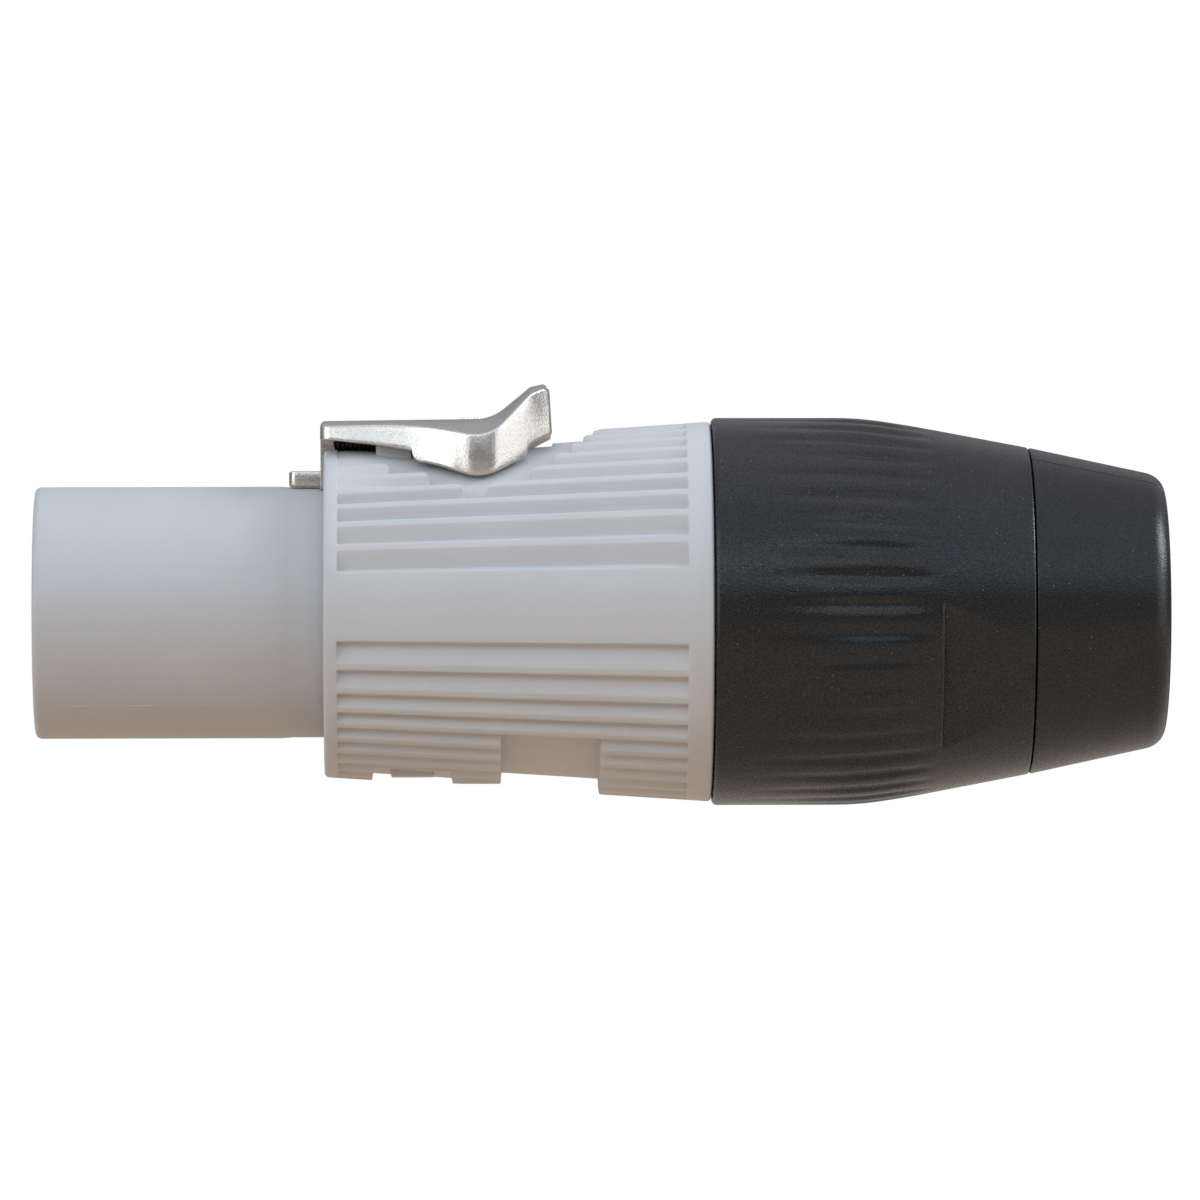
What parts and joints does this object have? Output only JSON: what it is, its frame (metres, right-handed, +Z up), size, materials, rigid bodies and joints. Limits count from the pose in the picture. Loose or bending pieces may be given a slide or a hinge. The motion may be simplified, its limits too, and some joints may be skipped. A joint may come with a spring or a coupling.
{
  "type": "locking mains power cable connector",
  "caption": "Round locking mains connector for a cable end: grey ribbed housing with a plain socket nose, a sprung metal slide latch on top, and a black clamping nut with a soft boot.",
  "frame": {"origin": "centre of the nose's front face, on the connector's axis", "axes": "+X along the axis from the nose to the cable end, +Z up to the latch, +Y away from the picture's camera, completing a right-handed set"},
  "size_m": [0.0792, 0.0272, 0.0296],
  "materials": {
    "insert_plastic": "satin moulded, light grey",
    "contact_metal": "silver plated",
    "screw_steel": "zinc plated",
    "housing_plastic": "satin moulded, light grey",
    "latch_metal": "satin nickel on a zinc casting",
    "spring_steel": "drawn wire",
    "chuck_plastic": "natural acetal",
    "bushing_plastic": "satin moulded, black",
    "boot_rubber": "fine grained, black"
  },
  "bodies": {
    "housing": {"housing": "housing_plastic", "insert": "insert_plastic", "contact_earth": "contact_metal", "contact_line": "contact_metal", "contact_neutral": "contact_metal", "terminal_screws": "screw_steel", "latch_spring": "spring_steel"},
    "latch": {"latch": "latch_metal"},
    "cable_clamp": {"chuck": "chuck_plastic"},
    "clamping_nut": {"bushing": "bushing_plastic", "boot": "boot_rubber"}
  },
  "joints": [
    {"name": "latch_slide", "type": "slide", "parent": "housing", "child": "latch", "axis": [1, 0, 0], "range_m": [0, 0.0022], "stiffness_N_per_m": 800, "springref_m": -0.001, "deforming": ["latch_spring"]},
    {"name": "nut_travel", "type": "slide", "parent": "housing", "child": "cable_clamp", "axis": [1, 0, 0], "range_m": [0, 0.006]},
    {"name": "nut_turn", "type": "hinge", "parent": "cable_clamp", "child": "clamping_nut", "pos_m": [0.058, 0, 0], "axis": [1, 0, 0], "range_deg": [0, 1080]}
  ],
  "couplings": [
    {"joint": "nut_travel", "follows": "nut_turn", "m_per_rad": 0.0003183}
  ]
}
